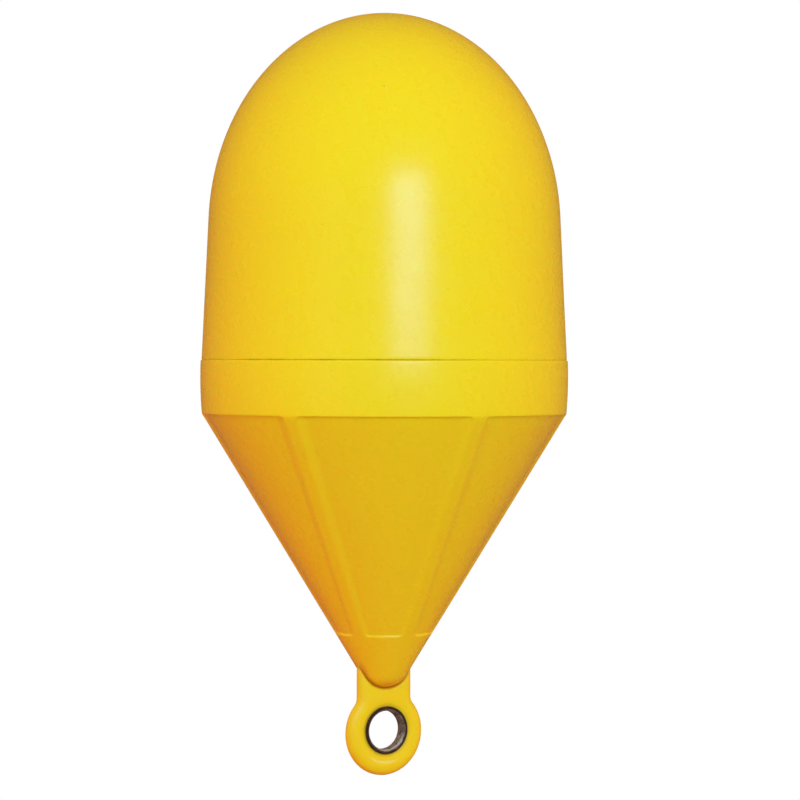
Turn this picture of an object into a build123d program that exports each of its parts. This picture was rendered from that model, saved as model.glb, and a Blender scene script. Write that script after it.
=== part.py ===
from build123d import *
from math import asin, cos, degrees, radians, sin, sqrt, tan
import os

os.makedirs("parts", exist_ok=True)

# Small navigation buoy: a domed upper hull seated in the banded collar of a conical lower hull,
# whose round nose carries a thin mooring lug with a flared steel eye.
# Millimetres, +Z up. The origin is on the hull's axis at the waterline, under the band.
# The eye is bored along Y.

# Band and cone
hull_radius = 200.0         # on the widest line of the band
band_height = 62.5          # waterline to the shelf that the upper hull stands on
crown_height = 43.0         # height of the band's widest line
crown_curve = 445.0         # radius of the band's barrel shape
band_top_round = 2.0
band_foot = 4.0             # where the band's face turns into the cone
band_foot_round = 8.0
cone_half_angle = 31.34     # degrees, along the ribs and the nose
nose_radius = 30.0

# Recessed panels round the cone, which leave the ribs standing between them
rib_count = 6
rib_first_angle = -90.0     # degrees about the axis, in line with the eye
rib_crest_width = 20.0
rib_draft = 50.0            # degrees that the ribs' flanks lean from square
rib_flare = 7.0             # radius of each panel's corners
flare_overrun = 1.2         # how far a corner's arc runs past the panel's edge
panel_top = 0.0             # at the waterline
panel_bottom = -236.0
panel_depth_top = 2.5
panel_depth_bottom = 1.2
panel_sill = 3.0            # height of the sloping sill under each panel
rib_lift = 1.0              # how far off the crests the ribs are drawn
rib_root = 1.5              # and how far below the panels

# Upper hull
band_step = 0.9             # how far the wall stands back from the band's edge
wall_draft = 2.75           # degrees
dome_base = 204.5           # centre height of the dome's ellipse
dome_rise = 233.8           # its upright half-axis
wall_foot_round = 1.5
shelf_width = 10.0          # seat round the spigot that centres the upper hull
spigot_depth = 22.0

# Mooring lug
lug_thickness = 15.0
lug_edge_round = 7.4
neck_width = 64.0
tang_top = -252.0           # the lug's seat inside the nose
ring_radius = 47.0
ring_drop = 2.4             # ring's centre below the eye's
ring_flare = 12.5           # concave radius from neck to ring
eye_height = -340.4

# Flared eye
eye_bore_radius = 21.0
eye_sheet = 2.0
eye_throat = 8.0            # straight part of the bore
eye_flare = 4.0             # bore-side radius of each flared lip
eye_lip = 1.0               # flat rim beyond the flare
eye_lip_round = 0.8

# Fits and margins
spigot_fit = 0.3            # radial, round the upper hull's spigot
spigot_end_gap = 1.0
lug_fit = 0.15              # round the tang in the nose's slot
eye_fit = 0.05              # round the eye in the lug
cutter_margin = 10.0        # how far a cutter passes what it cuts


def band_radius(height):
    return hull_radius - crown_curve + sqrt(crown_curve**2 - (height - crown_height) ** 2)


# Worked out: the cone line starts at the band's foot and runs tangent into the round nose
half_angle = radians(cone_half_angle)
cone_slope = tan(half_angle)
cone_tip = band_foot - band_radius(band_foot) / cone_slope
nose_centre = cone_tip + nose_radius / sin(half_angle)
nose_bottom = nose_centre - nose_radius
nose_tangent = (nose_radius * cos(half_angle), nose_centre - nose_radius * sin(half_angle))

# Worked out: the drafted wall runs tangent into the dome's ellipse
wall_foot_radius = band_radius(band_height) - band_step
spigot_radius = wall_foot_radius - shelf_width
wall_slope = tan(radians(wall_draft))
wall_reach = wall_foot_radius - wall_slope * (dome_base - band_height)
dome_radius = sqrt(wall_reach**2 - (wall_slope * dome_rise) ** 2)
dome_start_angle = asin(wall_slope * dome_rise / wall_reach)
wall_top = (dome_radius * cos(dome_start_angle), dome_base + dome_rise * sin(dome_start_angle))
dome_top = dome_base + dome_rise

# Worked out: ring and eye
ring_centre = eye_height - ring_drop
eye_outer_radius = eye_bore_radius + eye_sheet
flare_centre = eye_bore_radius + eye_flare
eye_rim_radius = flare_centre + eye_lip
eye_half_length = eye_throat / 2 + eye_flare
lip_seat = eye_half_length - eye_sheet

# Domed upper hull, centred in the band by a spigot
with BuildPart() as upper_hull:
    with BuildSketch(Plane.XZ):
        with BuildLine():
            Polyline(
                (0, dome_top),
                (0, band_height - spigot_depth),
                (spigot_radius, band_height - spigot_depth),
                (spigot_radius, band_height),
                (wall_foot_radius, band_height),
                wall_top,
            )
            EllipticalCenterArc(
                (0, dome_base),
                dome_radius,
                dome_rise,
                start_angle=degrees(dome_start_angle),
                arc_size=90 - degrees(dome_start_angle),
            )
        make_face()
        wall_foot = vertices().sort_by_distance(Vector(wall_foot_radius, band_height))[0]
        fillet(wall_foot, wall_foot_round)
    revolve(axis=Axis.Z)
upper_hull.part.label = "upper_hull"

# One rib, drawn across its crest just off the cone and again below the panel, where its draft has
# widened it and tightened its corners. Local x runs across the rib and y up the cone.
crest_plane = Plane(
    origin=(band_radius(band_foot), 0, band_foot),
    x_dir=(0, 1, 0),
    z_dir=(cos(half_angle), 0, -sin(half_angle)),
)
corner_x = rib_crest_width / 2 + rib_flare
upper_corner = (panel_top - band_foot) / cos(half_angle) + flare_overrun - rib_flare
lower_corner = (panel_bottom - panel_sill - band_foot) / cos(half_angle) - flare_overrun + rib_flare

with BuildPart() as rib:
    for level in (rib_lift, -panel_depth_top - rib_root):
        corner_radius = rib_flare + level * tan(radians(rib_draft))
        with BuildSketch(crest_plane.offset(level)):
            with BuildLine():
                Polyline(
                    (0, cutter_margin),
                    (corner_x, cutter_margin),
                    (corner_x, upper_corner + corner_radius),
                )
                CenterArc((corner_x, upper_corner), corner_radius, 90, 90)
                Line((corner_x - corner_radius, upper_corner), (corner_x - corner_radius, lower_corner))
                CenterArc((corner_x, lower_corner), corner_radius, 180, 90)
                Polyline(
                    (corner_x, lower_corner - corner_radius),
                    (corner_x, lower_corner - rib_flare - cutter_margin),
                    (0, lower_corner - rib_flare - cutter_margin),
                )
                mirror(about=Plane.YZ)
            make_face()
    loft(ruled=True)

# The panels' cutter: a ring outside the panel line, less the ribs
panel_line = []
for height, depth in ((panel_top, panel_depth_top), (panel_bottom, panel_depth_bottom)):
    panel_line.append(((height - cone_tip) * cone_slope - depth / cos(half_angle), height))
sill_foot = panel_bottom - panel_sill
with BuildPart() as panel_cutter:
    with BuildSketch(Plane.XZ):
        with BuildLine():
            Polyline(
                *panel_line,
                ((sill_foot - cone_tip) * cone_slope, sill_foot),
                (hull_radius + cutter_margin, sill_foot),
                (hull_radius + cutter_margin, panel_top),
                close=True,
            )
        make_face()
    revolve(axis=Axis.Z)
    with PolarLocations(0, rib_count, start_angle=rib_first_angle):
        add(rib.part, mode=Mode.SUBTRACT)

# Lower hull: banded collar, ribbed cone and round nose, with a slot that holds the lug's tang
with BuildPart() as lower_hull:
    with BuildSketch(Plane.XZ):
        spigot_floor = band_height - spigot_depth - spigot_end_gap
        with BuildLine():
            Polyline(
                (band_radius(band_height), band_height),
                (spigot_radius + spigot_fit, band_height),
                (spigot_radius + spigot_fit, spigot_floor),
                (0, spigot_floor),
                (0, nose_bottom),
            )
            CenterArc((0, nose_centre), nose_radius, -90, 90 - cone_half_angle)
            Line(nose_tangent, (band_radius(band_foot), band_foot))
            ThreePointArc(
                (band_radius(band_foot), band_foot),
                (hull_radius, crown_height),
                (band_radius(band_height), band_height),
            )
        make_face()
        foot_corner = vertices().sort_by_distance(Vector(band_radius(band_foot), band_foot))[0]
        fillet(foot_corner, band_foot_round)
        top_corner = vertices().sort_by_distance(Vector(band_radius(band_height), band_height))[0]
        fillet(top_corner, band_top_round)
    revolve(axis=Axis.Z)
    add(panel_cutter.part, mode=Mode.SUBTRACT)
    with BuildSketch(Plane.XY.offset(tang_top)):
        SlotOverall(neck_width + 2 * lug_fit, lug_thickness + 2 * lug_fit)
    extrude(amount=nose_bottom - tang_top - cutter_margin, mode=Mode.SUBTRACT)
lower_hull.part.label = "lower_hull"

# Mooring lug: tang, neck and round-edged ring in one thin plate
with BuildPart() as mooring_lug:
    with BuildSketch(Plane.XZ):
        with Locations((0, (tang_top + ring_centre) / 2)):
            Rectangle(neck_width, tang_top - ring_centre)
        with Locations((0, ring_centre)):
            Circle(ring_radius)
        shoulder = ring_centre + sqrt(ring_radius**2 - (neck_width / 2) ** 2)
        for side in (-1, 1):
            corner = vertices().sort_by_distance(Vector(side * neck_width / 2, shoulder))[0]
            fillet(corner, ring_flare)
    extrude(amount=lug_thickness / 2, both=True)
    front_face = faces().sort_by(Axis.Y)[0]
    back_face = faces().sort_by(Axis.Y)[-1]
    rims = (front_face.edges() + back_face.edges()).filter_by(
        lambda edge: edge.center().Z < tang_top - lug_edge_round / 2
    )
    fillet(rims, lug_edge_round)
    with BuildSketch(Plane.XZ.offset(-lug_thickness)):
        with Locations((0, eye_height)):
            Circle(eye_outer_radius + eye_fit)
    extrude(amount=2 * lug_thickness, mode=Mode.SUBTRACT)
    for side in (-1, 1):
        with BuildSketch(Plane.XZ.offset(side * lip_seat)):
            with Locations((0, eye_height)):
                Circle(eye_rim_radius + lug_fit)
        extrude(amount=side * lug_thickness, mode=Mode.SUBTRACT)
    bore_edges = edges().filter_by(GeomType.CIRCLE).filter_by(
        lambda edge: abs(edge.radius - eye_outer_radius - eye_fit) < eye_fit
        and abs(abs(edge.center().Y) - lip_seat) < eye_fit
    )
    fillet(bore_edges, eye_flare - eye_sheet)
mooring_lug.part.label = "mooring_lug"

# Steel eye: a short tube with both lips flared over the lug's bore
with BuildPart() as eye_bush:
    with BuildSketch(Plane.XY.offset(eye_height)):
        with BuildLine():
            Line((eye_bore_radius, 0), (eye_bore_radius, eye_throat / 2))
            CenterArc((flare_centre, eye_throat / 2), eye_flare, 180, -90)
            Polyline(
                (flare_centre, eye_half_length),
                (eye_rim_radius, eye_half_length),
                (eye_rim_radius, lip_seat),
                (flare_centre, lip_seat),
            )
            CenterArc((flare_centre, eye_throat / 2), eye_flare - eye_sheet, 90, 90)
            Polyline((eye_outer_radius, eye_throat / 2), (eye_outer_radius, 0), (eye_bore_radius, 0))
        make_face()
        lip_edge = vertices().sort_by_distance(Vector(eye_rim_radius, eye_half_length))[0]
        fillet(lip_edge, eye_lip_round)
        mirror(about=Plane.XZ)
    revolve(axis=Axis((0, 0, eye_height), (0, 1, 0)))
eye_bush.part.label = "eye_bush"

export_step(upper_hull.part, "parts/upper_hull.step")
export_step(lower_hull.part, "parts/lower_hull.step")
export_step(mooring_lug.part, "parts/mooring_lug.step")
export_step(eye_bush.part, "parts/eye_bush.step")
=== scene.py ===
import math

import bpy
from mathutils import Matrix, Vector


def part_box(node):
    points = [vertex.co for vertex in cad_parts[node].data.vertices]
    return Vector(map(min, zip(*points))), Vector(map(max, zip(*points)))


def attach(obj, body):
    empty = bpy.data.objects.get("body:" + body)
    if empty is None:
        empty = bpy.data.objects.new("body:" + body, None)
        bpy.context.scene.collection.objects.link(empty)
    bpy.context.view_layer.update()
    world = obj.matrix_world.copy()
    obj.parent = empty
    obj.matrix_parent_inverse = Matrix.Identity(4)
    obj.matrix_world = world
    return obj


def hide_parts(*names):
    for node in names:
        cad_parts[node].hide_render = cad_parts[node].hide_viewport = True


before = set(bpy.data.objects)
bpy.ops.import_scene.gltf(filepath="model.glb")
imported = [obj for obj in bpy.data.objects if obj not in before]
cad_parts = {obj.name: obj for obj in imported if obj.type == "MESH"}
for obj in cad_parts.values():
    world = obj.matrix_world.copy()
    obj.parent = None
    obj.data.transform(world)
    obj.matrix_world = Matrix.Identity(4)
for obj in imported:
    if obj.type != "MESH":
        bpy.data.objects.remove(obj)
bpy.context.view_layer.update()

# Everything is in metres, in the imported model's own frame: the origin is on the buoy's axis at the waterline
mm = 0.001
upperLow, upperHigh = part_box("upper_hull")
lowerLow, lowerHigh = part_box("lower_hull")
lugLow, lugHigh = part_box("mooring_lug")
eyeLow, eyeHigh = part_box("eye_bush")


def plug(tree, value, socket):
    if isinstance(value, bpy.types.NodeSocket):
        tree.links.new(value, socket)
    elif value is not None:
        socket.default_value = value


def doMath(tree, operation, first, second=None, third=None):
    node = tree.nodes.new("ShaderNodeMath")
    node.operation = operation
    for socket, value in zip(node.inputs, (first, second, third)):
        plug(tree, value, socket)
    return node.outputs[0]


def product(tree, *factors):
    total = factors[0]
    for factor in factors[1:]:
        total = doMath(tree, "MULTIPLY", total, factor)
    return total


def minus(tree, first, second):
    return doMath(tree, "SUBTRACT", first, second)


def hypotenuse(tree, first, second):
    squares = doMath(tree, "ADD", product(tree, first, first), product(tree, second, second))
    return doMath(tree, "SQRT", squares)


def mapRange(tree, value, fromLow, fromHigh, toLow=0.0, toHigh=1.0, smooth=True):
    node = tree.nodes.new("ShaderNodeMapRange")
    node.interpolation_type = "SMOOTHSTEP" if smooth else "LINEAR"
    names = ("Value", "From Min", "From Max", "To Min", "To Max")
    for name, entry in zip(names, (value, fromLow, fromHigh, toLow, toHigh)):
        plug(tree, entry, node.inputs[name])
    return node.outputs["Result"]


def mixColour(tree, amount, first, second):
    node = tree.nodes.new("ShaderNodeMix")
    node.data_type = "RGBA"
    plug(tree, amount, node.inputs[0])
    plug(tree, first, node.inputs[6])
    plug(tree, second, node.inputs[7])
    return node.outputs[2]


def noiseTexture(tree, where, size, detail=2.0, roughness=0.5, distortion=0.0):
    node = tree.nodes.new("ShaderNodeTexNoise")
    names = ("Vector", "Scale", "Detail", "Roughness", "Distortion")
    for name, value in zip(names, (where, 1 / size, detail, roughness, distortion)):
        plug(tree, value, node.inputs[name])
    return node.outputs["Fac"]


def stretched(tree, where, scale, offset=(0, 0, 0)):
    node = tree.nodes.new("ShaderNodeMapping")
    plug(tree, where, node.inputs["Vector"])
    node.inputs["Location"].default_value = offset
    node.inputs["Scale"].default_value = scale
    return node.outputs["Vector"]


def split(tree, vector):
    node = tree.nodes.new("ShaderNodeSeparateXYZ")
    tree.links.new(vector, node.inputs[0])
    return node.outputs


def bump(tree, height, distance, strength=1.0, normal=None):
    node = tree.nodes.new("ShaderNodeBump")
    node.inputs["Strength"].default_value = strength
    node.inputs["Distance"].default_value = distance
    plug(tree, height, node.inputs["Height"])
    plug(tree, normal, node.inputs["Normal"])
    return node.outputs["Normal"]


def newMaterial(name):
    material = bpy.data.materials.new(name)
    material.use_nodes = True
    tree = material.node_tree
    where = tree.nodes.new("ShaderNodeTexCoord").outputs["Object"]
    return material, tree, tree.nodes["Principled BSDF"], where


yellowPlastic = {
    "fresh": (0.960, 0.765, 0.012, 1),       # above the water
    "deep": (0.955, 0.735, 0.014, 1),        # below the waterline: a deeper yellow, painted shade for the downward-facing cone
    "fadeTop": 2 * mm,
    "fadeBottom": -10 * mm,
    "driftSize": 60 * mm,                    # how the fade's edge wanders
    "driftDepth": 4 * mm,
    "cloudSize": 90 * mm,                    # slow drift of the pigment
    "cloudTint": (0.86, 0.60, 0.012, 1),
    "cloudAmount": 0.06,
    "cloudRange": (0.38, 0.68),
    "mottleSize": 2.4 * mm,                  # powder grains that melted unevenly
    "mottleTint": (0.82, 0.60, 0.014, 1),
    "mottleAmount": 0.07,
    "mottleRange": (0.42, 0.66),
    "speckCell": 34 * mm,
    "speckSize": 1.3 * mm,
    "speckTint": (0.22, 0.13, 0.02, 1),
    "speckEmpty": 0.80,                      # share of the cells that hold none
    "speckCore": 0.45,
    "roughness": 0.28,
    "roughnessSpread": 0.07,
    "glossSize": 22 * mm,                    # patches of uneven gloss
    "glossRange": (0.3, 0.7),
    "peelSize": 3.2 * mm,                    # orange peel left by the mould
    "peelDepth": 0.014 * mm,
    "grainSize": 0.7 * mm,
    "grainDepth": 0.006 * mm,
    "scuffTint": (0.97, 0.86, 0.42, 1),
    "scuffSize": 30 * mm,                    # streaks, long and thin round the hull
    "scuffStretch": (1, 1, 7),
    "scuffRange": (0.66, 0.80),
    "scuffAmount": 0.30,
    "scuffDulling": 0.12,
    "scatterScale": 5 * mm,
    "scatterRadius": (1.0, 0.45, 0.12),
    "scatterWeight": 0.4,
    "specular": 0.52,
    "bloomWeight": 0.22,                     # a faint warm bloom seen along the edges
    "bloomTint": (1.0, 0.25, 0.0, 1),
    "bloomRoughness": 0.4,
}
# tints of painted marks: shade in grooves, in creases and on edges, an ochre ring round the eye, and a pale
# painted highlight
paintedMarkTints = {
    "dirt": (0.33, 0.15, 0.012, 1),
    "rust": (0.62, 0.22, 0.020, 1),
    "ochre": (0.72, 0.42, 0.016, 1),
    "pale": (0.98, 0.90, 0.30, 1),
}
paintedMarkStrengths = {
    "upperJoint": 0.45,
    "lowerJoint": 0.35,
    "nose": 0.60,
    "eye": 0.50,
    "root": 0.85,
    "rim": 0.35,
    "chafe": 0.65,
}
eyeAxis = (eyeLow.z + eyeHigh.z) / 2


def distanceFromEye(tree, where):
    x, y, z = split(tree, where)
    z = minus(tree, z, eyeAxis)
    return x, z, hypotenuse(tree, x, z)


def patches(tree, where, values):
    noise = noiseTexture(tree, where, values["patchSize"], 3.0, 0.6)
    return mapRange(tree, noise, *values["patchRange"], values["thinnest"], 1.0)


def turnedFrom(tree, across, up, values):
    # 1 round the direction "turn", falling away between "turnFull" and "turnFade" radians from it
    off = minus(tree, doMath(tree, "ARCTAN2", up, across), values["turn"])
    fade, full = math.cos(values["turnFade"]), math.cos(values["turnFull"])
    return mapRange(tree, doMath(tree, "COSINE", off), fade, full, values["elsewhere"], 1.0)


jointGrooveShade = {
    "reach": 1.5 * mm,                       # where the line has faded out, above and below the joint
    "core": 0.3 * mm,
    "turn": math.radians(-134),              # the side of the buoy where the painted shade is heaviest
    "turnFade": 0.85,
    "turnFull": 0.30,
    "elsewhere": 0.10,
    "patchSize": 30 * mm,
    "patchRange": (0.35, 0.65),
    "thinnest": 0.45,
}


def seamGrooveShade(tree, where):
    # painted shade: a thin dark line in the joint's groove, heavier on one side of the buoy and broken up
    # elsewhere
    values = jointGrooveShade
    x, y, z = split(tree, where)
    off = doMath(tree, "ABSOLUTE", minus(tree, z, lowerHigh.z))
    line = mapRange(tree, off, values["reach"], values["core"])
    return product(tree, line, turnedFrom(tree, x, y, values), patches(tree, where, values))


noseShadeShape = {
    "besideLug": 14 * mm,                    # from the lug's middle plane, where it begins and is full
    "againstLug": 7 * mm,
    "startHeight": -258 * mm,
    "fullHeight": -276 * mm,
    "tipReach": 9 * mm,                      # above the tip of the nose
    "tipCore": 1 * mm,
    "patchSize": 9 * mm,
    "patchRange": (0.3, 0.7),
    "thinnest": 0.6,
}


def noseCreaseShade(tree, where):
    # painted shade: a rusty brown darkening where the nose closes round the lug and over its downward-facing
    # tip
    values = noseShadeShape
    x, y, z = split(tree, where)
    side = mapRange(tree, doMath(tree, "ABSOLUTE", y), values["besideLug"], values["againstLug"])
    side = product(tree, side, mapRange(tree, z, values["startHeight"], values["fullHeight"]))
    tip = mapRange(tree, z, lowerLow.z + values["tipReach"], lowerLow.z + values["tipCore"])
    return product(tree, doMath(tree, "MAXIMUM", side, tip), patches(tree, where, values))


eyeOchreReach = {
    "reach": 5.0 * mm,                       # out over the lug from the eye's rim
    "core": -0.5 * mm,
    "raggedSize": 5 * mm,
    "raggedDepth": 3 * mm,
}


def eyeOchreRing(tree, where):
    # an ochre darkening reaches a few millimetres out from the eye's rim, with a ragged edge
    values = eyeOchreReach
    x, z, away = distanceFromEye(tree, where)
    ragged = minus(tree, noiseTexture(tree, where, values["raggedSize"], 4.0, 0.6), 0.5)
    away = doMath(tree, "MULTIPLY_ADD", ragged, values["raggedDepth"], away)
    return mapRange(tree, away, eyeHigh.x + values["reach"], eyeHigh.x + values["core"])


rootShadeReach = {
    "reach": 3.2 * mm,
    "core": 0.6 * mm,
}


def rootCreaseShade(tree, where):
    # painted shade: a rusty brown line in the crease where the lug enters the hull's round nose; the distance
    # is offNose, in nodes
    x, y, z = split(tree, where)
    half, tip, centre, radius = noseOutline()
    across = doMath(tree, "ABSOLUTE", x)
    up = minus(tree, z, centre)
    fromTip = minus(tree, hypotenuse(tree, x, up), radius)
    height = product(tree, minus(tree, z, tip), math.sin(half))
    fromFlank = minus(tree, product(tree, across, math.cos(half)), height)
    below = doMath(tree, "LESS_THAN", doMath(tree, "MULTIPLY_ADD", across, math.tan(half), up), 0.0)
    above = minus(tree, 1.0, below)
    away = doMath(tree, "ADD", product(tree, below, fromTip), product(tree, above, fromFlank))
    return mapRange(tree, away, rootShadeReach["reach"], rootShadeReach["core"])


rimShadeReach = {
    "start": 8.5 * mm,                       # from the lug's middle plane
    "full": 2.0 * mm,
}


def edgeShade(tree, where):
    # painted shade: ochre darkening on the plate's rounded edges, near its middle plane
    x, y, z = split(tree, where)
    return mapRange(tree, doMath(tree, "ABSOLUTE", y), rimShadeReach["start"], rimShadeReach["full"])


arcHighlightShape = {
    "radius": 35 * mm,                       # from the eye's axis
    "reach": 2.6 * mm,
    "core": 0.3 * mm,
    "turn": math.radians(-96),
    "turnFade": 0.62,
    "turnFull": 0.15,
    "elsewhere": 0.0,
    "patchSize": 4 * mm,
    "patchRange": (0.3, 0.6),
    "thinnest": 0.5,
}


def chafe(tree, where):
    # painted highlight: a pale arc on the ring under the eye
    values = arcHighlightShape
    x, z, away = distanceFromEye(tree, where)
    off = doMath(tree, "ABSOLUTE", minus(tree, away, values["radius"]))
    line = mapRange(tree, off, values["reach"], values["core"])
    return product(tree, line, turnedFrom(tree, x, z, values), patches(tree, where, values))


def makeYellowPlastic(name, values, shift, belowWater, marks):
    material, tree, shader, where = newMaterial(name)
    place = stretched(tree, where, (1, 1, 1), shift)

    # pigment: clear yellow, deeper below the water as painted shade, clouded and mottled
    colour = values["fresh"]
    if belowWater:
        drift = noiseTexture(tree, place, values["driftSize"], 2.0)
        height = doMath(tree, "MULTIPLY_ADD", drift, values["driftDepth"], split(tree, where)[2])
        sunk = mapRange(tree, height, values["fadeTop"], values["fadeBottom"])
        colour = mixColour(tree, sunk, values["fresh"], values["deep"])
    cloud = noiseTexture(tree, place, values["cloudSize"], 3.0, 0.55)
    cloud = mapRange(tree, cloud, *values["cloudRange"])
    colour = mixColour(tree, product(tree, cloud, values["cloudAmount"]), colour, values["cloudTint"])
    mottle = noiseTexture(tree, place, values["mottleSize"], 4.0, 0.7)
    mottle = mapRange(tree, mottle, *values["mottleRange"])
    colour = mixColour(tree, product(tree, mottle, values["mottleAmount"]), colour, values["mottleTint"])

    # this piece's painted marks, shade and highlight among them: where each lies, its tint and its strength
    for markAt, tint, strength in marks:
        colour = mixColour(tree, product(tree, markAt(tree, where), strength), colour, tint)

    # a few dark grains of burnt powder
    cells = tree.nodes.new("ShaderNodeTexVoronoi")
    cells.feature = "F1"
    tree.links.new(place, cells.inputs["Vector"])
    cells.inputs["Scale"].default_value = 1 / values["speckCell"]
    cells.inputs["Randomness"].default_value = 1.0
    chosen = doMath(tree, "GREATER_THAN", split(tree, cells.outputs["Color"])[0], values["speckEmpty"])
    reach = values["speckSize"] / values["speckCell"]
    dot = mapRange(tree, cells.outputs["Distance"], reach, reach * values["speckCore"])
    colour = mixColour(tree, product(tree, dot, chosen), colour, values["speckTint"])

    # faint rubbed streaks
    rubbed = stretched(tree, place, values["scuffStretch"])
    rubbed = noiseTexture(tree, rubbed, values["scuffSize"], 6.0, 0.72)
    rubbed = mapRange(tree, rubbed, *values["scuffRange"])
    colour = mixColour(tree, product(tree, rubbed, values["scuffAmount"]), colour, values["scuffTint"])
    tree.links.new(colour, shader.inputs["Base Color"])

    # gloss: satin, a little uneven, duller where rubbed
    patch = noiseTexture(tree, place, values["glossSize"], 4.0, 0.6)
    middle, spread = values["roughness"], values["roughnessSpread"] / 2
    gloss = mapRange(tree, patch, *values["glossRange"], middle - spread, middle + spread)
    gloss = doMath(tree, "MULTIPLY_ADD", rubbed, values["scuffDulling"], gloss)
    tree.links.new(gloss, shader.inputs["Roughness"])
    for socket, key in (
        ("Specular IOR Level", "specular"),
        ("Sheen Weight", "bloomWeight"),
        ("Sheen Tint", "bloomTint"),
        ("Sheen Roughness", "bloomRoughness"),
        ("Subsurface Weight", "scatterWeight"),
        ("Subsurface Radius", "scatterRadius"),
        ("Subsurface Scale", "scatterScale"),
    ):
        shader.inputs[socket].default_value = values[key]

    # relief: orange peel and a fine grain
    peel = noiseTexture(tree, place, values["peelSize"])
    grain = noiseTexture(tree, place, values["grainSize"], 1.0)
    normal = bump(tree, peel, values["peelDepth"])
    normal = bump(tree, grain, values["grainDepth"], 1.0, normal)
    tree.links.new(normal, shader.inputs["Normal"])
    return material


dulledSteel = {
    "bright": (0.40, 0.33, 0.28, 1),
    "stain": (0.17, 0.125, 0.10, 1),
    "stainSize": 4 * mm,
    "grime": (0.030, 0.018, 0.012, 1),       # painted shade: near-black over the flared rim
    "grimeStart": 22.7 * mm,                 # from the eye's axis
    "grimeEnd": 23.7 * mm,
    "rust": (0.16, 0.045, 0.020, 1),
    "worn": (0.80, 0.72, 0.66, 1),           # painted highlight: a pale band low on the lip
    "wornStart": 21.15 * mm,
    "wornEnd": 22.4 * mm,
    "turn": math.radians(-68),
    "turnFade": 1.15,
    "turnFull": 0.55,
    "elsewhere": 0.0,
    "wornSoft": 0.3 * mm,
    "wornCrisp": 0.2 * mm,
    "stainRange": (0.36, 0.66),
    "stainDulling": 0.16,
    "grimeDulling": 0.25,
    "raggedSize": 2.5 * mm,                  # the painted shade's uneven edge
    "raggedDepth": 1.2 * mm,
    "rustSize": 9 * mm,
    "rustRange": (0.50, 0.72),
    "roughness": 0.34,
    "metallic": 0.55,
    "turnedPitch": 0.5 * mm,                 # lathe marks round the bore
    "turnedDepth": 0.010 * mm,
    "pitSize": 1.4 * mm,
    "pitDepth": 0.02 * mm,
    "pitStrength": 0.6,
}


def makeDulledSteel(name, values):
    material, tree, shader, where = newMaterial(name)
    stained = noiseTexture(tree, where, values["stainSize"], 5.0, 0.6, 0.4)
    stained = mapRange(tree, stained, *values["stainRange"])
    colour = mixColour(tree, stained, values["bright"], values["stain"])

    # painted shade: near-black over the flared rim, reddish in places
    x, z, away = distanceFromEye(tree, where)
    ragged = minus(tree, noiseTexture(tree, where, values["raggedSize"], 3.0, 0.6), 0.5)
    away = doMath(tree, "MULTIPLY_ADD", ragged, values["raggedDepth"], away)
    rimShadowed = mapRange(tree, away, values["grimeStart"], values["grimeEnd"])
    reddish = mapRange(tree, noiseTexture(tree, where, values["rustSize"], 3.0, 0.6), *values["rustRange"])
    grime = mixColour(tree, reddish, values["grime"], values["rust"])
    colour = mixColour(tree, rimShadowed, colour, grime)

    # painted highlight: a pale band low down on the turn of the lip
    low = turnedFrom(tree, x, z, values)
    start, end, soft = values["wornStart"], values["wornEnd"], values["wornSoft"]
    rise = mapRange(tree, away, start - soft, start + values["wornCrisp"])
    fall = mapRange(tree, away, end - soft, end + soft, 1.0, 0.0)
    colour = mixColour(tree, product(tree, low, product(tree, rise, fall)), colour, values["worn"])
    tree.links.new(colour, shader.inputs["Base Color"])
    dull = doMath(tree, "MULTIPLY_ADD", stained, values["stainDulling"], values["roughness"])
    dull = doMath(tree, "MULTIPLY_ADD", rimShadowed, values["grimeDulling"], dull)
    tree.links.new(dull, shader.inputs["Roughness"])
    tree.links.new(product(tree, minus(tree, 1.0, rimShadowed), values["metallic"]), shader.inputs["Metallic"])
    turned = noiseTexture(tree, stretched(tree, where, (0.1, 1, 0.1)), values["turnedPitch"], 2.0, 0.6)
    pits = noiseTexture(tree, where, values["pitSize"], 4.0, 0.7)
    normal = bump(tree, turned, values["turnedDepth"])
    normal = bump(tree, pits, values["pitDepth"], values["pitStrength"], normal)
    tree.links.new(normal, shader.inputs["Normal"])
    return material


# the hulls' painted marks: shade in the joint's groove, and on the lower hull shade in the crease round the
# nose
upperYellow = makeYellowPlastic("upperHullYellow", yellowPlastic, (0.31, 0.12, 0.05), False, [
    (seamGrooveShade, paintedMarkTints["dirt"], paintedMarkStrengths["upperJoint"]),
])
lowerYellow = makeYellowPlastic("lowerHullYellow", yellowPlastic, (0.0, 0.0, 0.0), True, [
    (seamGrooveShade, paintedMarkTints["dirt"], paintedMarkStrengths["lowerJoint"]),
    (noseCreaseShade, paintedMarkTints["rust"], paintedMarkStrengths["nose"]),
])
eyeSteel = makeDulledSteel("eyeSteel", dulledSteel)
print("finishes made")


def arcPoints(centre, radius, startDegrees, endDegrees, steps):
    # (r, z) points along an arc, its first point left out
    points = []
    for step in range(1, steps + 1):
        angle = math.radians(startDegrees + (endDegrees - startDegrees) * step / steps)
        points.append((centre[0] + radius * math.cos(angle), centre[1] + radius * math.sin(angle)))
    return points


def linePoints(start, end, spacing):
    # (r, z) points along a line, its first point left out
    length = math.dist(start, end)
    steps = max(1, round(length / spacing))
    return [
        (start[0] + (end[0] - start[0]) * step / steps, start[1] + (end[1] - start[1]) * step / steps)
        for step in range(1, steps + 1)
    ]


def makeObject(name, vertices, faces, material):
    mesh = bpy.data.meshes.new(name)
    mesh.from_pydata(vertices, [], faces)
    mesh.materials.append(material)
    mesh.polygons.foreach_set("use_smooth", [True] * len(mesh.polygons))
    mesh.validate()
    mesh.update()
    piece = bpy.data.objects.new(name, mesh)
    bpy.context.scene.collection.objects.link(piece)
    return piece


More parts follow.
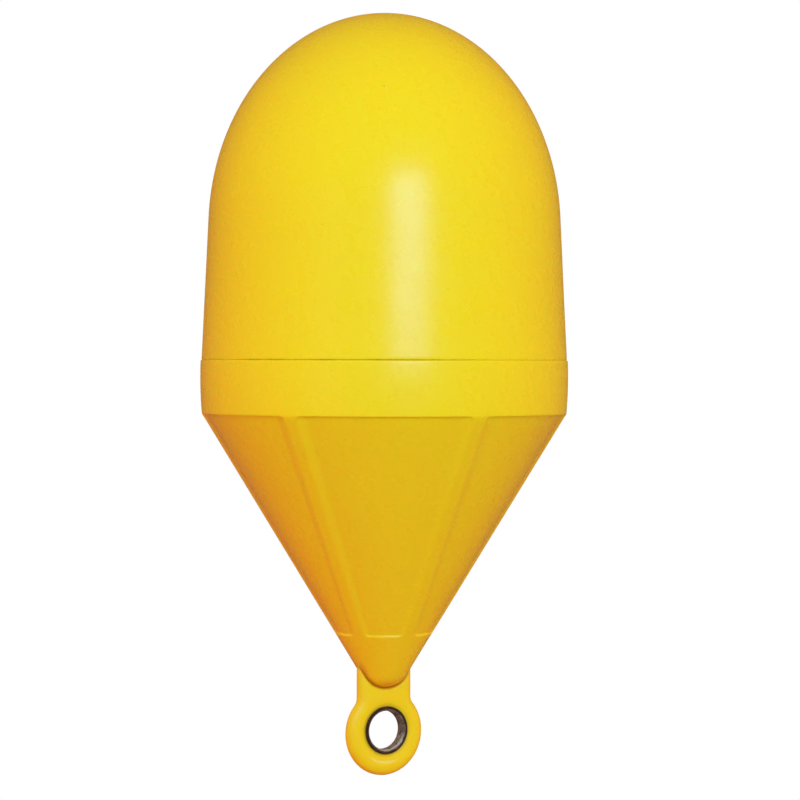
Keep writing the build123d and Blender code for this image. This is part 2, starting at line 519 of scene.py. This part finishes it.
def lathe(name, profile, anglesAt, material):
    # profile runs from the axis at the bottom, round the outside, to the axis at the top
    columns = len(anglesAt(*profile[1]))
    vertices = [(0, 0, profile[0][1])]
    for radius, height in profile[1:-1]:
        for angle in anglesAt(radius, height):
            vertices.append((radius * math.cos(angle), radius * math.sin(angle), height))
    vertices.append((0, 0, profile[-1][1]))
    top = len(vertices) - 1
    rings = len(profile) - 2
    faces = []
    for column in range(columns):
        after = (column + 1) % columns
        faces.append((0, 1 + after, 1 + column))
        for ring in range(rings - 1):
            low = 1 + ring * columns
            high = low + columns
            faces.append((low + column, low + after, high + after, high + column))
        last = 1 + (rings - 1) * columns
        faces.append((last + column, last + after, top))
    return makeObject(name, vertices, faces, material)


mouldedSkin = {
    "waveDepth": 0.45 * mm,                  # how unevenly the skin shrank in the mould
    "waveSize": 110 * mm,
    "calmRadius": (5 * mm, 60 * mm),         # none at the poles, all of it out here
}
smallestRadius = 1 * mm                      # keeps the poles from a division by nothing


def newGeometryTree(name, inputs):
    tree = bpy.data.node_groups.new(name, "GeometryNodeTree")
    tree.interface.new_socket("Geometry", in_out="INPUT", socket_type="NodeSocketGeometry")
    for inputName, socketType in inputs:
        tree.interface.new_socket(inputName, in_out="INPUT", socket_type=socketType)
    tree.interface.new_socket("Geometry", in_out="OUTPUT", socket_type="NodeSocketGeometry")
    return tree, tree.nodes.new("NodeGroupInput"), tree.nodes.new("NodeGroupOutput")


def endTree(tree, geometry, material, groupOutput):
    realize = tree.nodes.new("GeometryNodeRealizeInstances")
    tree.links.new(geometry, realize.inputs["Geometry"])
    setMaterial = tree.nodes.new("GeometryNodeSetMaterial")
    tree.links.new(realize.outputs["Geometry"], setMaterial.inputs["Geometry"])
    tree.links.new(material, setMaterial.inputs["Material"])
    tree.links.new(setMaterial.outputs["Geometry"], groupOutput.inputs["Geometry"])


def moveBy(tree, geometry, offset):
    node = tree.nodes.new("GeometryNodeSetPosition")
    tree.links.new(geometry, node.inputs["Geometry"])
    tree.links.new(offset, node.inputs["Offset"])
    return node.outputs["Geometry"]


def scaled(tree, vector, amount):
    node = tree.nodes.new("ShaderNodeVectorMath")
    node.operation = "SCALE"
    tree.links.new(vector, node.inputs[0])
    plug(tree, amount, node.inputs["Scale"])
    return node.outputs[0]


def joined(tree, x, y, z):
    node = tree.nodes.new("ShaderNodeCombineXYZ")
    for socket, value in zip(node.inputs, (x, y, z)):
        plug(tree, value, socket)
    return node.outputs[0]


def fromAxis(tree, x, y):
    return doMath(tree, "MAXIMUM", hypotenuse(tree, x, y), smallestRadius)


def makeSkinTree():
    # sinks the wall a little, unevenly, straight towards the axis, so that heights stay as they are
    tree, given, result = newGeometryTree("mouldedSkin", [
        ("Wave Depth", "NodeSocketFloat"),
        ("Wave Size", "NodeSocketFloat"),
        ("Seed", "NodeSocketFloat"),
        ("Skin", "NodeSocketMaterial"),
    ])
    position = tree.nodes.new("GeometryNodeInputPosition").outputs[0]
    x, y, z = split(tree, position)
    radius = fromAxis(tree, x, y)
    outward = joined(tree, doMath(tree, "DIVIDE", x, radius), doMath(tree, "DIVIDE", y, radius), 0.0)
    noise = tree.nodes.new("ShaderNodeTexNoise")
    noise.noise_dimensions = "4D"
    tree.links.new(position, noise.inputs["Vector"])
    tree.links.new(given.outputs["Seed"], noise.inputs["W"])
    tree.links.new(doMath(tree, "DIVIDE", 1.0, given.outputs["Wave Size"]), noise.inputs["Scale"])
    noise.inputs["Detail"].default_value = 1.5
    noise.inputs["Roughness"].default_value = 0.35
    calm = mapRange(tree, radius, *mouldedSkin["calmRadius"])
    sink = product(tree, noise.outputs["Fac"], given.outputs["Wave Depth"], calm, -1.0)
    sunk = moveBy(tree, given.outputs["Geometry"], scaled(tree, outward, sink))
    endTree(tree, sunk, given.outputs["Skin"], result)
    return tree


def makeRibTree():
    # sinks round-cornered panels into a cone and leaves the ribs between them
    sizes = (
        "First Angle", "Crest Width", "Corner Radius", "Flank Top", "Flank Bottom", "End Step",
        "Panel Top", "Panel Bottom", "Depth Top", "Depth Bottom", "Cone Half Angle",
    )
    tree, given, result = newGeometryTree("ribbedCone", [
        ("Rib Count", "NodeSocketInt"),
        *[(name, "NodeSocketFloat") for name in sizes],
        ("Skin", "NodeSocketMaterial"),
    ])
    value = given.outputs
    position = tree.nodes.new("GeometryNodeInputPosition").outputs[0]
    x, y, z = split(tree, position)
    radius = fromAxis(tree, x, y)

    # across: distance from the nearest rib's centre line, less half the crest
    angle = minus(tree, doMath(tree, "ARCTAN2", y, x), value["First Angle"])
    pitch = doMath(tree, "DIVIDE", math.tau, value["Rib Count"])
    turns = doMath(tree, "DIVIDE", angle, pitch)
    folded = product(tree, minus(tree, turns, doMath(tree, "ROUND", turns)), pitch)
    lateral = doMath(tree, "ABSOLUTE", product(tree, doMath(tree, "SINE", folded), radius))
    across = minus(tree, lateral, product(tree, value["Crest Width"], 0.5))

    # along: distance down the cone from the panel's nearer end
    slant = doMath(tree, "COSINE", value["Cone Half Angle"])
    fromTop = doMath(tree, "DIVIDE", minus(tree, value["Panel Top"], z), slant)
    fromBottom = doMath(tree, "DIVIDE", minus(tree, z, value["Panel Bottom"]), slant)
    along = doMath(tree, "MINIMUM", fromTop, fromBottom)

    # the flanks are broad and soft, the two ends crisp with rounded corners
    ends = (value["Panel Top"], value["Panel Bottom"])
    flank = mapRange(tree, z, *ends, value["Flank Top"], value["Flank Bottom"], False)
    besides = mapRange(tree, across, 0.0, flank)
    corner = value["Corner Radius"]
    over = doMath(tree, "MAXIMUM", minus(tree, corner, across), 0.0)
    over = doMath(tree, "MINIMUM", over, corner)
    square = minus(tree, product(tree, corner, corner), product(tree, over, over))
    drop = minus(tree, corner, doMath(tree, "SQRT", doMath(tree, "MAXIMUM", square, 0.0)))
    below = mapRange(tree, minus(tree, along, drop), 0.0, value["End Step"])
    sunk = product(tree, besides, below)

    depth = mapRange(tree, z, *ends, value["Depth Top"], value["Depth Bottom"], False)
    sink = product(tree, depth, sunk, -1.0)
    normal = joined(
        tree,
        product(tree, doMath(tree, "DIVIDE", x, radius), slant),
        product(tree, doMath(tree, "DIVIDE", y, radius), slant),
        product(tree, doMath(tree, "SINE", value["Cone Half Angle"]), -1.0),
    )
    endTree(tree, moveBy(tree, value["Geometry"], scaled(tree, normal, sink)), value["Skin"], result)
    return tree


def useTree(piece, tree, values):
    # each input takes the value of the same name: "Rib Count" takes values["ribCount"]
    modifier = piece.modifiers.new(tree.name, "NODES")
    modifier.node_group = tree
    for item in tree.interface.items_tree:
        if item.item_type == "SOCKET" and item.in_out == "INPUT":
            key = item.name[0].lower() + item.name[1:].replace(" ", "")
            if key in values:
                modifier[item.identifier] = values[key]


def bakeTrees(piece):
    # turns the modifiers' result into a plain mesh
    bpy.context.view_layer.update()
    evaluated = piece.evaluated_get(bpy.context.evaluated_depsgraph_get())
    mesh = bpy.data.meshes.new_from_object(evaluated)
    mesh.name = piece.name
    piece.modifiers.clear()
    piece.data = mesh
    mesh.polygons.foreach_set("use_smooth", [True] * len(mesh.polygons))
    mesh.update()


skinTree = makeSkinTree()
ribTree = makeRibTree()
print("geometry trees made")


upperHull = {
    "wallFoot": upperHigh.x,                 # radius where it stands in the band
    "wallDraft": 2.75,                       # degrees
    "footHeight": lowerHigh.z,
    "footRound": 1.0 * mm,
    "domeBase": 204.5 * mm,
    "domeTop": upperHigh.z,
    "shelf": 10 * mm,                        # from the wall in to the spigot
    "spigotFoot": upperLow.z,
    "columns": 320,
    "domeRows": 110,
    "wallStep": 3 * mm,                      # spacing of the mesh's rows
    "hiddenStep": 8 * mm,
    "floorStep": 20 * mm,
    "seed": 3.7,
}


def makeUpperHull(values):
    slope = math.tan(math.radians(values["wallDraft"]))
    rise = values["domeTop"] - values["domeBase"]
    reach = values["wallFoot"] - slope * (values["domeBase"] - values["footHeight"])
    domeRadius = math.sqrt(reach**2 - (slope * rise) ** 2)
    startAngle = math.asin(slope * rise / reach)
    wallTop = (domeRadius * math.cos(startAngle), values["domeBase"] + rise * math.sin(startAngle))
    spigot = values["wallFoot"] - values["shelf"]
    soft = values["footRound"]

    profile = [(0, values["spigotFoot"])]
    profile += linePoints(profile[-1], (spigot, values["spigotFoot"]), values["floorStep"])
    profile += linePoints(profile[-1], (spigot, values["footHeight"]), values["hiddenStep"])
    profile += linePoints(profile[-1], (values["wallFoot"] - soft, values["footHeight"]), values["wallStep"])
    profile += arcPoints((values["wallFoot"] - soft, values["footHeight"] + soft), soft, -90, 0, 6)
    profile += linePoints(profile[-1], wallTop, values["wallStep"])
    steps = values["domeRows"]
    for step in range(1, steps + 1):
        angle = startAngle + (math.pi / 2 - startAngle) * step / steps
        profile.append((domeRadius * math.cos(angle), values["domeBase"] + rise * math.sin(angle)))
    profile[-1] = (0, values["domeTop"])
    angles = [math.tau * column / values["columns"] for column in range(values["columns"])]
    piece = lathe("upperHullSkin", profile, lambda radius, height: angles, upperYellow)
    useTree(piece, skinTree, {**mouldedSkin, "seed": values["seed"], "skin": upperYellow})
    bakeTrees(piece)
    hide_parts("upper_hull")
    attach(piece, "root")
    print("upper hull:", len(piece.data.polygons), "faces")


makeUpperHull(upperHull)


lowerHull = {
    "radius": lowerHigh.x,
    "top": lowerHigh.z,
    "topRound": 2 * mm,
    "crownHeight": 43 * mm,                  # the band's widest line
    "crownCurve": 445 * mm,
    "footHeight": 4 * mm,
    "footRound": 8 * mm,
    "coneHalfAngle": math.radians(31.34),
    "noseRadius": 30 * mm,
    "spigotGap": 0.3 * mm,
    "spigotFloor": upperLow.z - 1 * mm,
    "ribCount": 6,
    "firstAngle": -math.pi / 2,
    "crestWidth": 9 * mm,
    "cornerRadius": 9 * mm,
    "flankTop": 15 * mm,                     # the ribs' sides lean out softly, less so near the nose
    "flankBottom": 8 * mm,
    "endStep": 1.7 * mm,                     # how crisply the panels begin and end
    "panelTop": 4.2 * mm,
    "panelBottom": -235 * mm,
    "depthTop": 3.4 * mm,
    "depthBottom": 1.8 * mm,
    "coarseStep": 5 * mm,
    "nearStep": 1.2 * mm,
    "fineStep": 0.45 * mm,
    "nearReach": 12 * mm,                    # how near a panel's end the rows close up
    "fineReach": 2.6 * mm,
    "bandStep": 1.5 * mm,
    "columnStep": 1.15 * mm,
    "panelColumns": 9,
    "sillRadius": 52 * mm,                   # below this radius the columns draw together
    "seed": 8.2,
}


def bandRadius(values, height):
    curve = values["crownCurve"]
    return values["radius"] - curve + math.sqrt(curve**2 - (height - values["crownHeight"]) ** 2)


def lowerProfile(values):
    # from the nose's tip up the outside, over the band and down into the spigot's seat
    half = values["coneHalfAngle"]
    footRadius = bandRadius(values, values["footHeight"])
    tip = values["footHeight"] - footRadius / math.tan(half)
    noseCentre = tip + values["noseRadius"] / math.sin(half)
    profile = [(0, noseCentre - values["noseRadius"])]
    profile += arcPoints((0, noseCentre), values["noseRadius"], -90, -math.degrees(half), 16)

    # up the cone in rows that are close together at both ends of the panels
    while profile[-1][1] < values["footHeight"] - values["footRound"]:
        height = profile[-1][1]
        fromBottom = abs(height - values["panelBottom"] - 1.5 * mm)
        fromTop = abs(height - values["panelTop"] + 1.5 * mm)
        near = min(fromBottom, fromTop)
        step = values["coarseStep"]
        if near < values["nearReach"]:
            step = values["fineStep"] if near < values["fineReach"] else values["nearStep"]
        height += step * math.cos(half)
        profile.append(((height - tip) * math.tan(half), height))

    # round the foot: from the cone's line to the band's
    soft = values["footRound"]
    bandLean = math.asin((values["crownHeight"] - values["footHeight"]) / values["crownCurve"])
    turn = half - bandLean
    cut = soft * math.tan(turn / 2)
    corner = (footRadius, values["footHeight"])
    start = (corner[0] - cut * math.sin(half), corner[1] - cut * math.cos(half))
    while profile[-1][1] > start[1] - 0.3 * mm:
        profile.pop()
    profile.append(start)
    centre = (start[0] - soft * math.cos(half), start[1] + soft * math.sin(half))
    profile += arcPoints(centre, soft, -math.degrees(half), -math.degrees(bandLean), 10)

    # up the band and over its rounded edge
    edge = values["topRound"]
    height = profile[-1][1]
    while height < values["top"] - edge - 1.6 * mm:
        height += values["bandStep"]
        profile.append((bandRadius(values, height), height))
    edgeRadius = bandRadius(values, values["top"])
    profile += arcPoints((edgeRadius - edge, values["top"] - edge), edge, 0, 90, 8)
    spigotSeat = upperHull["wallFoot"] - upperHull["shelf"] + values["spigotGap"]
    profile += linePoints(profile[-1], (spigotSeat, values["top"]), upperHull["wallStep"])
    profile += linePoints(profile[-1], (spigotSeat, values["spigotFloor"]), upperHull["hiddenStep"])
    profile += linePoints(profile[-1], (0, values["spigotFloor"]), upperHull["floorStep"])
    return profile


def makeLowerHull(values):
    # columns stay at fixed distances from each rib, so that its flanks are always well covered
    crest = values["crestWidth"] / 2
    spreads = [crest * share for share in (0.0, 0.25, 0.5, 0.75)]
    while spreads[-1] < crest + values["flankTop"] + 1.5 * mm:
        spreads.append(max(spreads[-1] + values["columnStep"], crest - 1 * mm))
    panelColumns = values["panelColumns"]
    halfSector = math.pi / values["ribCount"]

    def anglesAt(radius, height):
        shrink = min(1.0, radius / values["sillRadius"])
        near = [math.asin(min(0.95, spread * shrink / radius)) for spread in spreads]
        far = [
            near[-1] + (halfSector - near[-1]) * step / panelColumns for step in range(1, panelColumns + 1)
        ]
        side = near + far
        aroundRib = [-angle for angle in reversed(side[1:-1])] + side
        return [
            values["firstAngle"] + 2 * halfSector * rib + angle
            for rib in range(values["ribCount"])
            for angle in aroundRib
        ]

    piece = lathe("lowerHullSkin", lowerProfile(values), anglesAt, lowerYellow)
    useTree(piece, ribTree, {**values, "skin": lowerYellow})
    useTree(piece, skinTree, {**mouldedSkin, "seed": values["seed"], "skin": lowerYellow})
    bakeTrees(piece)
    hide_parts("lower_hull")
    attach(piece, "root")
    print("lower hull:", len(piece.data.polygons), "faces")


makeLowerHull(lowerHull)


mooringLug = {
    "halfThickness": lugHigh.y,
    "halfNeck": 33 * mm,
    "ringRadius": lugHigh.x,
    "ringCentre": lugLow.z + lugHigh.x,
    "top": lugHigh.z,
    "topCorner": 12 * mm,
    "flare": 12.5 * mm,
    "edgeRound": 11.5 * mm,                  # how far in from the rim the surface keeps curving
    "edgeShare": 0.78,                       # at most this share of the way to the eye's seat
    "eyeHeight": eyeAxis,
    "seatRadius": eyeHigh.x + 0.15 * mm,
    "seatDip": 1.9 * mm,                     # how far the face falls towards the eye
    "seatReach": 11 * mm,
    "circleReach": 2.0 * mm,                 # where the mesh turns into circles round the eye
    "rootRound": 6.5 * mm,                   # how softly its faces turn in against the hull's nose
    "rootSink": 0.8 * mm,
    "rootThinnest": 0.12,                    # share of the thickness left inside the nose
    "lip": 0.8 * mm,                         # rounding at the eye's seat
    "spacing": 1.3 * mm,
    "edgeLoops": 12,
    "faceLoops": 44,
    "seatLoops": 6,
}


def noseOutline():
    # the cone's half angle, where its flanks would meet, and the round nose's centre and radius
    half = lowerHull["coneHalfAngle"]
    footRadius = bandRadius(lowerHull, lowerHull["footHeight"])
    tip = lowerHull["footHeight"] - footRadius / math.tan(half)
    return half, tip, tip + lowerHull["noseRadius"] / math.sin(half), lowerHull["noseRadius"]


def offNose(x, z):
    # distance of a point in the lug's plane from that outline, negative inside
    half, tip, centre, radius = noseOutline()
    if z - centre < -abs(x) * math.tan(half):
        return math.hypot(x, z - centre) - radius
    return abs(x) * math.cos(half) - (z - tip) * math.sin(half)


def lugOutline(values):
    # half of the plate's edge, from the middle of its top to the bottom of the ring
    # each point is (x, z, nx, nz), with the normal inwards
    half, flare = values["halfNeck"], values["flare"]
    ring, centre = values["ringRadius"], values["ringCentre"]
    corner, top = values["topCorner"], values["top"]
    flareHeight = centre + math.sqrt((ring + flare) ** 2 - (half + flare) ** 2)
    points = []
    for x, z in [(0, top)] + linePoints((0, top), (half - corner, top), values["spacing"]):
        points.append((x, z, 0, -1))
    middle = (half - corner, top - corner)
    for x, z in arcPoints(middle, corner, 90, 0, 6):
        points.append((x, z, (middle[0] - x) / corner, (middle[1] - z) / corner))
    for x, z in linePoints(points[-1][:2], (half, flareHeight), values["spacing"]):
        points.append((x, z, -1, 0))
    middle = (half + flare, flareHeight)
    endAngle = 180 + math.degrees(math.acos((half + flare) / (ring + flare)))
    for x, z in arcPoints(middle, flare, 180, endAngle, 14):
        points.append((x, z, (x - middle[0]) / flare, (z - middle[1]) / flare))
    startAngle = endAngle - 180
    steps = round(math.radians(startAngle + 90) * ring / values["spacing"])
    for x, z in arcPoints((0, centre), ring, startAngle, -90, steps):
        points.append((x, z, -x / ring, (centre - z) / ring))
    return points


lugPlastic = {**yellowPlastic, "roughness": 0.42}
# the lug's painted marks: an ochre ring round the eye, shade in the root's crease and on the rounded edges,
# and a painted highlight under the eye
lugYellow = makeYellowPlastic("lugYellow", lugPlastic, (0.7, 0.4, 0.2), False, [
    (eyeOchreRing, paintedMarkTints["ochre"], paintedMarkStrengths["eye"]),
    (rootCreaseShade, paintedMarkTints["rust"], paintedMarkStrengths["root"]),
    (edgeShade, paintedMarkTints["ochre"], paintedMarkStrengths["rim"]),
    (chafe, paintedMarkTints["pale"], paintedMarkStrengths["chafe"]),
])


def makeLug(values):
    half = lugOutline(values)
    outline = half + [(-x, z, -nx, nz) for x, z, nx, nz in reversed(half[1:-1])]
    eye = values["eyeHeight"]
    thick = values["halfThickness"]

    def roundness(share):
        share = min(1.0, max(0.0, share))
        return math.sqrt(max(0.0, 1 - (1 - share) ** 2))

    def roundAt(x, z):
        room = math.hypot(x, z - eye) - values["seatRadius"]
        return min(values["edgeRound"], values["edgeShare"] * room)

    def halfThicknessAt(x, z, curved):
        fromSeat = math.hypot(x, z - eye) - values["seatRadius"]
        near = min(1.0, max(0.0, 1 - fromSeat / values["seatReach"]))
        root = roundness((offNose(x, z) + values["rootSink"]) / values["rootRound"])
        full = thick - values["seatDip"] * near * near
        return full * roundness(curved) * max(root, values["rootThinnest"])

    loops = []
    edgeSteps = values["edgeLoops"]
    for step in range(edgeSteps + 1):
        curved = 1 - math.cos(math.pi / 2 * step / edgeSteps)
        loop = []
        for x, z, nx, nz in outline:
            inward = roundAt(x, z) * curved
            px, pz = x + nx * inward, z + nz * inward
            loop.append((px, halfThicknessAt(px, pz, curved), pz))
        loops.append(loop)
    # from there inwards: first evenly to a circle round the eye's seat, then in closer circles
    innerEdge = loops[-1]
    across, closing = values["faceLoops"], values["seatLoops"]
    plan = [(step / across, values["circleReach"]) for step in range(1, across + 1)]
    plan += [(1.0, values["circleReach"] * (1 - step / closing)) for step in range(1, closing + 1)]
    for share, gap in plan:
        loop = []
        for px, _, pz in innerEdge:
            away = math.hypot(px, pz - eye)
            reach = values["seatRadius"] + gap
            circleX, circleZ = px / away * reach, eye + (pz - eye) / away * reach
            qx, qz = px + (circleX - px) * share, pz + (circleZ - pz) * share
            loop.append((qx, halfThicknessAt(qx, qz, 1.0), qz))
        loops.append(loop)
    seatLoop = loops[-1]
    lip = values["lip"]
    for turn in (30, 60, 90):
        angle = math.radians(turn)
        radius = values["seatRadius"] - lip * math.sin(angle)
        fall = lip * (1 - math.cos(angle))
        loop = []
        for qx, qy, qz in seatLoop:
            away = math.hypot(qx, qz - eye)
            loop.append((qx / away * radius, qy - fall, eye + (qz - eye) / away * radius))
        loops.append(loop)
    loops.append([(qx, 0.0, qz) for qx, _, qz in loops[-1]])
    back = [[(x, -y, z) for x, y, z in loop] for loop in reversed(loops[1:-1])]
    rings = loops + back

    count = len(outline)
    vertices = [point for loop in rings for point in loop]
    faces = []
    for ring in range(len(rings)):
        near = ring * count
        far = (ring + 1) % len(rings) * count
        for column in range(count):
            after = (column + 1) % count
            faces.append((near + column, near + after, far + after, far + column))
    piece = makeObject("mooringLugPlate", vertices, faces, lugYellow)
    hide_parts("mooring_lug")
    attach(piece, "root")
    print("mooring lug:", len(piece.data.polygons), "faces")


makeLug(mooringLug)


steelEye = {
    "height": eyeAxis,
    "bore": 21 * mm,
    "sheet": 2 * mm,
    "halfThroat": 4 * mm,
    "flare": 4 * mm,
    "rim": eyeHigh.x,
    "halfLength": eyeHigh.y,
    "rimRound": 0.8 * mm,
    "columns": 192,
    "seamAngle": math.radians(-96),          # where the rolled strip meets
    "seamWidth": math.radians(1.6),
    "seamDepth": 0.7 * mm,
}


def eyeProfile(values):
    # (radius, y) round the tube's wall, from the middle of the bore to the front and back again outside
    bore, throat, flare = values["bore"], values["halfThroat"], values["flare"]
    soft = values["rimRound"]
    front = [(bore, 0)]
    front += linePoints(front[-1], (bore, throat), 0.5 * mm)
    front += [(bore + flare - math.cos(a) * flare, throat + math.sin(a) * flare) for a in
              [math.pi / 2 * step / 14 for step in range(1, 15)]]
    front += linePoints(front[-1], (values["rim"] - soft, values["halfLength"]), 0.3 * mm)
    front += arcPoints((values["rim"] - soft, values["halfLength"] - soft), soft, 90, 0, 5)
    front += linePoints(front[-1], (values["rim"], values["halfLength"] - values["sheet"]), 0.5 * mm)
    front += linePoints(front[-1], (bore + flare, values["halfLength"] - values["sheet"]), 0.5 * mm)
    inner = flare - values["sheet"]
    front += [(bore + flare - math.sin(a) * inner, throat + math.cos(a) * inner) for a in
              [math.pi / 2 * step / 8 for step in range(1, 9)]]
    front += linePoints(front[-1], (bore + values["sheet"], 0), 1 * mm)
    return front + [(radius, -y) for radius, y in reversed(front[1:-1])]


def makeEye(values):
    profile = eyeProfile(values)
    vertices, faces = [], []
    columns = values["columns"]
    for column in range(columns):
        angle = math.tau * column / columns
        offSeam = abs(math.remainder(angle - values["seamAngle"], math.tau))
        seam = max(0.0, 1 - offSeam / values["seamWidth"]) * values["seamDepth"]
        for radius, y in profile:
            inside = radius < values["bore"] + values["sheet"] / 2 or abs(y) > values["halfLength"] - 0.5 * mm
            r = radius + (seam if inside and radius < values["rim"] - 1.2 * mm else 0)
            vertices.append((r * math.cos(angle), y, values["height"] + r * math.sin(angle)))
    rows = len(profile)
    for column in range(columns):
        after = (column + 1) % columns
        for row in range(rows):
            following = (row + 1) % rows
            faces.append((
                column * rows + row, after * rows + row, after * rows + following, column * rows + following
            ))
    piece = makeObject("steelEye", vertices, faces, eyeSteel)
    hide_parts("eye_bush")
    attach(piece, "root")
    print("steel eye:", len(piece.data.polygons), "faces")


makeEye(steelEye)


studio = {
    "viewAzimuth": -30.5,
    "cameraDistance": 3.2,
    "cameraHeight": 0.0614,
    "aimRight": 17.2 * mm,
    "aimHeight": 18.9 * mm,
    "frameWidth": 0.8704,
    "roll": 0.12,
    "floorDrop": 0.60,                       # below the lug's ring, so that the shadow lies low
    "floorRadius": 3.0,
    "floorLit": 0.5,                         # how much of the floor's own light and shadow shows
    "floorColour": (0.80, 0.80, 0.79, 1),
    "bounceColour": (0.03, 0.02, 0.015, 1),  # what little light the floor sends back up
    "airColour": (1.0, 0.70, 0.45),          # what comes back from a warm room
    "airLevel": 0.75,
    "reflectedShare": 0.10,
    "litRange": (1.05, 2.85),                # from the middle, where the floor's own shading fades out
    "floorRoughness": 0.8,
    "floorGloss": 0.1,
    "floorSides": 96,
    "sensor": 36,
    "farClip": 50,
}
gels = {
    "sky": (0.30, 0.60, 1.00),
    "day": (0.65, 1.00, 0.90),
    "amber": (1.00, 0.90, 0.60),
    "ember": (1.00, 0.15, 0.05),
}
# name, azimuth, elevation, distance, width, height, watts, gel, height of its aim, makes highlights
lamps = [
    ("keySoftbox", -15, 13, 1.9, 0.70, 0.75, 11.0, "sky", 0.15, True),
    ("frontFill", -30, 8, 2.6, 1.0, 1.0, 16.0, "day", 0.10, False),
    ("leftFill", -65, 5, 2.4, 0.8, 1.4, 5.0, "day", 0.05, False),
    ("rightFill", 5, 10, 2.4, 0.8, 1.4, 3.0, "amber", 0.05, False),
    ("leftEdge", -125, 5, 1.8, 0.8, 1.4, 3.0, "ember", 0.00, False),
    ("rightEdge", 65, 5, 1.8, 0.8, 1.4, 4.0, "ember", 0.05, False),
    ("leftLow", -100, -28, 1.5, 0.6, 0.3, 4.5, "ember", -0.15, False),
    ("rightLow", 55, -28, 1.5, 0.6, 0.3, 3.5, "amber", -0.15, False),
    ("belowCard", -30, -89, 0.75, 1.2, 1.2, 3.5, "ember", -0.20, False),
    ("backHigh", 150, 35, 2.4, 1.8, 1.4, 9.0, "day", 0.10, False),
]


def directionTo(azimuth, elevation):
    a, e = math.radians(azimuth), math.radians(elevation)
    return Vector((math.sin(a) * math.cos(e), -math.cos(a) * math.cos(e), math.sin(e)))


def pointAt(thing, target):
    thing.rotation_euler = (Vector(target) - thing.location).to_track_quat("-Z", "Y").to_euler()


def makeLamp(name, azimuth, elevation, distance, width, height, watts, gel, aim, highlights):
    light = bpy.data.lights.new(name, "AREA")
    light.shape = "RECTANGLE"
    light.size = width
    light.size_y = height
    light.energy = watts
    light.color = gels[gel]
    lamp = bpy.data.objects.new(name, light)
    lamp.location = Vector((0, 0, aim)) + directionTo(azimuth, elevation) * distance
    lamp.visible_glossy = highlights
    lamp.visible_camera = False
    bpy.context.scene.collection.objects.link(lamp)
    pointAt(lamp, (0, 0, aim))


def showWhite(tree, surface, output, share, litShare=0.0):
    # the camera sees plain white here, less what litShare keeps of the surface's own light and shadow;
    # reflections see the same white, more dimly
    path = tree.nodes.new("ShaderNodeLightPath")
    seen = doMath(tree, "MAXIMUM", path.outputs["Is Camera Ray"], path.outputs["Is Transmission Ray"])
    glossy = path.outputs["Is Glossy Ray"]
    plain = product(tree, seen, minus(tree, 1.0, litShare))
    white = tree.nodes.new("ShaderNodeBackground" if output.type == "OUTPUT_WORLD" else "ShaderNodeEmission")
    white.inputs["Color"].default_value = (1, 1, 1, 1)
    strength = doMath(tree, "MAXIMUM", seen, product(tree, glossy, share))
    tree.links.new(strength, white.inputs["Strength"])
    mix = tree.nodes.new("ShaderNodeMixShader")
    tree.links.new(doMath(tree, "MAXIMUM", plain, glossy), mix.inputs[0])
    tree.links.new(surface, mix.inputs[1])
    tree.links.new(white.outputs[0], mix.inputs[2])
    tree.links.new(mix.outputs[0], output.inputs["Surface"])


def makeStudio(values):
    world = bpy.data.worlds.new("studioAir")
    bpy.context.scene.world = world
    world.use_nodes = True
    tree = world.node_tree
    dim = tree.nodes["Background"]
    dim.inputs["Color"].default_value = (*values["airColour"], 1)
    dim.inputs["Strength"].default_value = values["airLevel"]
    showWhite(tree, dim.outputs[0], tree.nodes["World Output"], values["reflectedShare"])

    material, tree, shader, where = newMaterial("paleFloor")
    bounced = tree.nodes.new("ShaderNodeLightPath").outputs["Is Diffuse Ray"]
    floorColour = mixColour(tree, bounced, values["floorColour"], values["bounceColour"])
    tree.links.new(floorColour, shader.inputs["Base Color"])
    shader.inputs["Roughness"].default_value = values["floorRoughness"]
    shader.inputs["Specular IOR Level"].default_value = values["floorGloss"]
    x, y, z = split(tree, where)
    lit = mapRange(tree, hypotenuse(tree, x, y), *values["litRange"], values["floorLit"], 0.0)
    showWhite(tree, shader.outputs[0], tree.nodes["Material Output"], values["reflectedShare"], lit)
    level = lugLow.z - values["floorDrop"]
    radius, sides = values["floorRadius"], values["floorSides"]
    rim = [math.tau * side / sides for side in range(sides)]
    vertices = [(radius * math.cos(a), radius * math.sin(a), level) for a in rim]
    floor = makeObject("studioFloor", vertices, [tuple(range(sides))], material)

    for lamp in lamps:
        makeLamp(*lamp)

    # camera: level with the band, turned to see the eye from its left
    lens = bpy.data.cameras.new("viewCamera")
    camera = bpy.data.objects.new("viewCamera", lens)
    bpy.context.scene.collection.objects.link(camera)
    side = directionTo(values["viewAzimuth"] + 90, 0)
    target = side * values["aimRight"] + Vector((0, 0, values["aimHeight"]))
    camera.location = (
        directionTo(values["viewAzimuth"], 0) * values["cameraDistance"]
        + side * values["aimRight"]
        + Vector((0, 0, values["cameraHeight"]))
    )
    pointAt(camera, target)
    camera.rotation_euler.rotate_axis("Z", math.radians(values["roll"]))
    lens.sensor_width = values["sensor"]
    lens.lens = values["sensor"] * values["cameraDistance"] / values["frameWidth"]
    lens.clip_end = values["farClip"]
    bpy.context.scene.camera = camera


makeStudio(studio)
bpy.context.scene.view_settings.view_transform = "Standard"
print("studio set")
